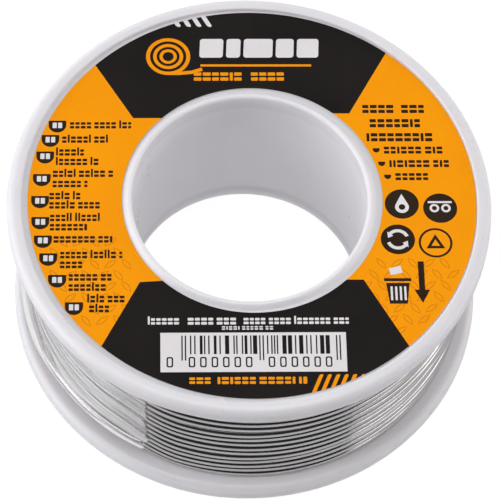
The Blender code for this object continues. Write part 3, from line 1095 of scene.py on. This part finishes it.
def build_outer_wire():
    coil_start = JOG_START - 360.0 * JOGS - LEAD_IN
    coil_end = TAIL_START - 6.0
    path = strand(coil_start, coil_end, COIL_STEP)
    after = [strand_point(coil_end + TAIL_STEP)]
    coil = wire_piece("outer_turns", path, WIRE_SIDES, "wire_layer_10", after=after)
    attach(coil, "spool")
    edges = [coil_end] + CUTS + [TIP]
    for i in range(7):
        path = strand(edges[i], edges[i + 1], TAIL_STEP)
        before = [strand_point(edges[i] - TAIL_STEP)]
        if i == 6:
            build_tip(path, before)
            build_core(path)
            break
        parts = (f"wire_end_{i}",) if i else ()
        after = [strand_point(edges[i + 1] + TAIL_STEP)]
        name = f"free_end_{i}"
        obj = wire_piece(name, path, WIRE_SIDES, *parts, before=before, after=after)
        blend_at_hinge(obj)


def build_tip(path, before):
    """The cut end: nipped slightly flat, with a hole for the core."""
    count = len(path)
    nips = [smooth((i - (count - 4)) / 3.0) for i in range(count)]
    sizes = [(WIRE_R * (1.0 - 0.14 * nip), WIRE_R * (1.0 + 0.05 * nip)) for nip in nips]
    obj = sweep("free_end_6", path, WIRE_SIDES, SOLDER, sizes=sizes, before=before)
    with editing(obj.data) as work:
        end = Vector(path[-1])
        caps = [face for face in work.faces if len(face.verts) == WIRE_SIDES]
        cap = min(caps, key=lambda face: (face.calc_center_median() - end).length)
        # bevelled edge, cut face, hole
        for thickness, depth in ((0.05, 0.03), (0.24, -0.02), (0.015, -0.25)):
            bmesh.ops.inset_individual(
                work, faces=[cap], thickness=thickness * MM, depth=depth * MM
            )
    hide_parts("wire_end_6")
    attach(obj, "wire_end_6")


def build_core(path):
    """The flux core that shows in the cut, ending in a small dome."""
    end = np.array(path[-1])
    along = end - np.array(path[-2])
    along /= np.linalg.norm(along)
    core_path = [end - along * depth * MM for depth in (0.24, 0.16, 0.10, 0.06)]
    sizes = [(radius, radius) for radius in (CORE_R, CORE_R, 0.15, 0.09)]
    core = sweep("flux_core_face", core_path, 16, FLUX, sizes=sizes)
    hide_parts("flux_core")
    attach(core, "wire_end_6")


def build_buried():
    """The layers under the visible one, each a run of flat turns with its own jog."""
    for number in range(1, 10):
        radius = COIL_R - 0.12 - (10 - number) * 0.85
        step, sides = (4.0, 12) if number == 9 else (9.0, 8)
        jog = (JOG_START + 47.0 * number) % 360.0
        turns, shift = (13, 0.52) if number % 2 else (14, 0.04)
        start = jog - 360.0 * turns - LEAD_IN
        path = []
        for i in range(int((jog - 5.0 - start) / step) + 1):
            total = start + i * step
            path.append(ring(radius, total, level(total, turns, jog, COIL_BASE + shift)))
        obj = wire_piece(f"buried_turns_{number}", path, sides, f"wire_layer_{number:02d}")
        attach(obj, "spool")


build_outer_wire()
build_buried()

# ------------------------------------------------------------------ tape

TAPE_TOP = 14.75
TAPE_START = TAIL_START - 40.0
TAPE_END = TIP + 1.0
TAPE_T = 0.05
TAPE_ROWS = 76
TAPE_STEP = 0.6


def tape_low(azimuth):
    """Height of the lower edge: just under the free end, which it wraps."""
    return min(tail_place(azimuth)[1], TAIL_Z - 0.3) - 0.36 + 0.05 * wave(azimuth * 0.11, 11.0)


def tape_radius(azimuth, z):
    """Inner face of the tape: over the turns, dipping between them, and round the free end."""
    base = winding_radius(azimuth, z) + WIRE_R + 0.10 + 0.07 * smooth((azimuth - 240.0) / 6.0)
    phase = (z - level(azimuth - 360.0)) / PITCH
    base += 0.022 * math.cos(2 * math.pi * phase)
    base += 0.03 * wave(math.radians(azimuth) * 5.0, z * 0.8, 1.0)
    tail_r, tail_z = tail_place(azimuth)
    tail_z = COIL_LOW + (tail_z - COIL_LOW) * tail_rise(azimuth)
    over = WIRE_R + 0.05
    hug = 0.40  # how far above and below its centre the tape follows the free end
    above = z - tail_z
    if abs(above) < hug:
        return max(base, tail_r + math.sqrt(over * over - above * above))
    if above > 0:
        shoulder = tail_r + math.sqrt(over * over - hug * hug)
        return max(base, base + (shoulder - base) * smooth((1.05 - above) / 0.65))
    return max(base, tail_r + 0.20)


def tape_normal(azimuth, z):
    turn, lift = 0.25, 0.06  # short steps along and up the sheet
    here = np.array(ring(tape_radius(azimuth, z), azimuth, z))
    beside = np.array(ring(tape_radius(azimuth + turn, z), azimuth + turn, z))
    above = np.array(ring(tape_radius(azimuth, z + lift), azimuth, z + lift))
    normal = np.cross(beside - here, above - here)
    return normal / np.linalg.norm(normal)


def tape_edge(z):
    """Azimuth of the torn cut at the free end, with the small teeth of the dispenser's blade."""
    tooth = abs(((z * 1.6) % 1.0) - 0.5) * 2
    ragged = 1.3 * wave(z * 0.55, 3.0) + 1.1 * wave(z * 1.3, 8.0) + 0.4 * wave(z * 5.0, 5.0)
    return TAPE_END + 0.25 * tooth + ragged


def tape_faces(cols, first, last):
    """Both sides of the sheet, inner one first, and walls along its real edges."""
    column = TAPE_ROWS + 1
    size = (cols + 1) * column
    faces = []
    for i in range(cols):
        for k in range(TAPE_ROWS):
            here = i * column + k
            beside = here + column
            faces.append((here, beside, beside + 1, here + 1))
            faces.append((size + here, size + here + 1, size + beside + 1, size + beside))
    for i in range(cols):
        for k in (0, TAPE_ROWS):
            here = i * column + k
            beside = here + column
            quad = (here, size + here, size + beside, beside)
            faces.append(quad if k == 0 else quad[::-1])
    for k in range(TAPE_ROWS):
        for i in [0] * first + [cols] * last:
            here = i * column + k
            quad = (here, here + 1, size + here + 1, size + here)
            faces.append(quad if i == 0 else quad[::-1])
    return faces


def tape_piece(name, start, end, first, last):
    """One length of the tape as a thin sheet.

    It has no wall where the next length goes on, and its normals come from the whole strip, so
    that no seam shows.
    """
    cols = max(3, int(math.ceil((end - start) / TAPE_STEP)))

    def place(i, k):
        stop = end
        if last:
            stop = tape_edge(TAPE_TOP + (tape_low(TIP) - TAPE_TOP) * k / TAPE_ROWS)
        azimuth = start + (stop - start) * i / cols
        return azimuth, TAPE_TOP + (tape_low(azimuth) - TAPE_TOP) * k / TAPE_ROWS

    verts, uvs, normals = [], [], []
    for side in (0, 1):
        for i in range(cols + 1):
            for k in range(TAPE_ROWS + 1):
                azimuth, z = place(i, k)
                verts.append(ring(tape_radius(azimuth, z) + side * TAPE_T, azimuth, z))
                uvs.append((azimuth * math.pi / 180 * COIL_R, z))
                normal = tape_normal(azimuth, z)
                normals.append(tuple(normal if side else -normal))
    obj = object_of(name, verts, tape_faces(cols, first, last), [TAPE], uvs)
    obj.data.normals_split_custom_set_from_vertices(normals)
    return obj


def build_tape():
    edges = [TAPE_START] + CUTS + [TAPE_END]
    for i in range(7):
        name = f"clear_tape_{i}"
        obj = tape_piece(name, edges[i], edges[i + 1], first=i == 0, last=i == 6)
        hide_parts("tape_anchor" if i == 0 else f"tape_flap_{i}")
        if i < 6:
            blend_at_hinge(obj)
        else:
            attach(obj, "tape_flap_6")


build_tape()

# ------------------------------------------------------------------ stage, in metres

FLOOR_HALF, FLOOR_STEPS, FLOOR_Z = 1.6, 24, -0.00002
LIGHT_AIM = Vector((0, 0, 0.01))
WARM, COOL = (1.0, 0.99, 0.985), (0.985, 0.99, 1.0)

# name, azimuth, elevation, distance, (width, height), watts, color
SOFTBOXES = (
    ("overhead", -90, 88, 0.7, (0.36, 0.30), 0.55, (1.0, 1.0, 1.0)),
    ("right strip", -12, 11, 0.6, (0.75, 0.09), 0.68, WARM),
    ("left", -163, 30, 0.6, (0.14, 0.26), 0.24, COOL),
    ("left high", -172, 58, 0.6, (0.24, 0.24), 0.20, COOL),
    ("left strip", -172, 10, 0.6, (0.60, 0.05), 0.45, COOL),
)

# The white room: direction, cosines from it where a patch begins and is full, color
ROOM = (0.76, 0.76, 0.775)
ROOM_PATCHES = (
    ((0.96, 0.20, 0.22), (0.84, 0.95), (1.25, 1.24, 1.23)),
    ((-0.93, -0.16, 0.30), (0.80, 0.94), (2.05, 2.05, 2.08)),
    ((0.0, -0.12, 1.0), (0.86, 0.97), (1.95, 1.95, 1.95)),
    ((0.72, -0.60, 0.40), (0.80, 0.93), (0.36, 0.36, 0.365)),
    ((0.0, -0.92, 0.40), (0.60, 0.78), (0.03, 0.03, 0.034)),  # toward the camera
    ((0.0, 0.484, 0.875), (0.90, 0.975), (0.14, 0.14, 0.145)),  # the label's mirror direction
)

PITCH_DOWN, YAW, ROLL = 1.0511, 0.0025, 0.0598  # camera angles, in radians
CAMERA_BACK, CAMERA_UP = 5.6236, 9.4025  # in flange radii, from the middle of the label's top


def build_stage():
    work = bmesh.new()
    marks = [(i / FLOOR_STEPS - 0.5) * 2 * FLOOR_HALF for i in range(FLOOR_STEPS + 1)]
    grid = [[work.verts.new((x, y, FLOOR_Z)) for y in marks] for x in marks]
    for i in range(FLOOR_STEPS):
        for j in range(FLOOR_STEPS):
            work.faces.new((grid[i][j], grid[i + 1][j], grid[i + 1][j + 1], grid[i][j + 1]))
    mesh = bpy.data.meshes.new("studio_floor")
    work.to_mesh(mesh)
    work.free()
    mesh.materials.append(floor_material())
    floor = bpy.data.objects.new("studio_floor", mesh)
    bpy.context.scene.collection.objects.link(floor)


def build_world():
    world = bpy.data.worlds.new("studio")
    bpy.context.scene.world = world
    world.use_nodes = True
    net = Nodes(world.node_tree)
    view = net.coords("Generated")
    color = ROOM
    for direction, span, patch in ROOM_PATCHES:
        toward = tuple(Vector(direction).normalized())
        dot = net.add("ShaderNodeVectorMath", {0: view, 1: toward}, operation="DOT_PRODUCT")
        share = net.spread(dot.outputs["Value"], span=span, curve="SMOOTHSTEP")
        color = net.mix(share, color, patch)
    back = net.tree.nodes["Background"]
    net.feed(back.inputs["Color"], color)
    back.inputs["Strength"].default_value = 1.0


def build_softbox(name, azimuth, elevation, distance, size, power, color):
    light = bpy.data.lights.new(name, "AREA")
    light.shape = "RECTANGLE"
    light.size, light.size_y = size
    light.energy = power
    light.color = color
    obj = bpy.data.objects.new(name, light)
    bpy.context.scene.collection.objects.link(obj)
    around, rise = math.radians(azimuth), math.radians(elevation)
    flat = distance * math.cos(rise)
    place = Vector((flat * math.cos(around), flat * math.sin(around), distance * math.sin(rise)))
    obj.location = place
    obj.rotation_euler = (LIGHT_AIM - place).to_track_quat("-Z", "Y").to_euler()


def build_camera():
    """A long lens, looking down at the label by about 60 degrees."""
    camera = bpy.data.cameras.new("camera")
    camera.sensor_width = 36.0
    camera.lens = 191.2248
    camera.clip_start = 0.01
    obj = bpy.data.objects.new("camera", camera)
    bpy.context.scene.collection.objects.link(obj)
    flat = math.cos(PITCH_DOWN)
    forward = Vector((math.sin(YAW) * flat, math.cos(YAW) * flat, -math.sin(PITCH_DOWN)))
    level_right = Vector((math.cos(YAW), -math.sin(YAW), 0.0))
    level_up = level_right.cross(forward)
    right = level_right * math.cos(ROLL) + level_up * math.sin(ROLL)
    up = -level_right * math.sin(ROLL) + level_up * math.cos(ROLL)
    scale = FLANGE_R * MM
    place = Vector((0.0, -CAMERA_BACK * scale, CAMERA_UP * scale + LABEL_TOP * MM))
    rows = [(right[i], up[i], -forward[i], place[i]) for i in range(3)]
    obj.matrix_world = Matrix(rows + [(0.0, 0.0, 0.0, 1.0)])
    bpy.context.scene.camera = obj


build_stage()
build_world()
for softbox in SOFTBOXES:
    build_softbox(*softbox)
build_camera()
bpy.context.scene.view_settings.view_transform = "Standard"
bpy.context.scene.view_settings.look = "None"
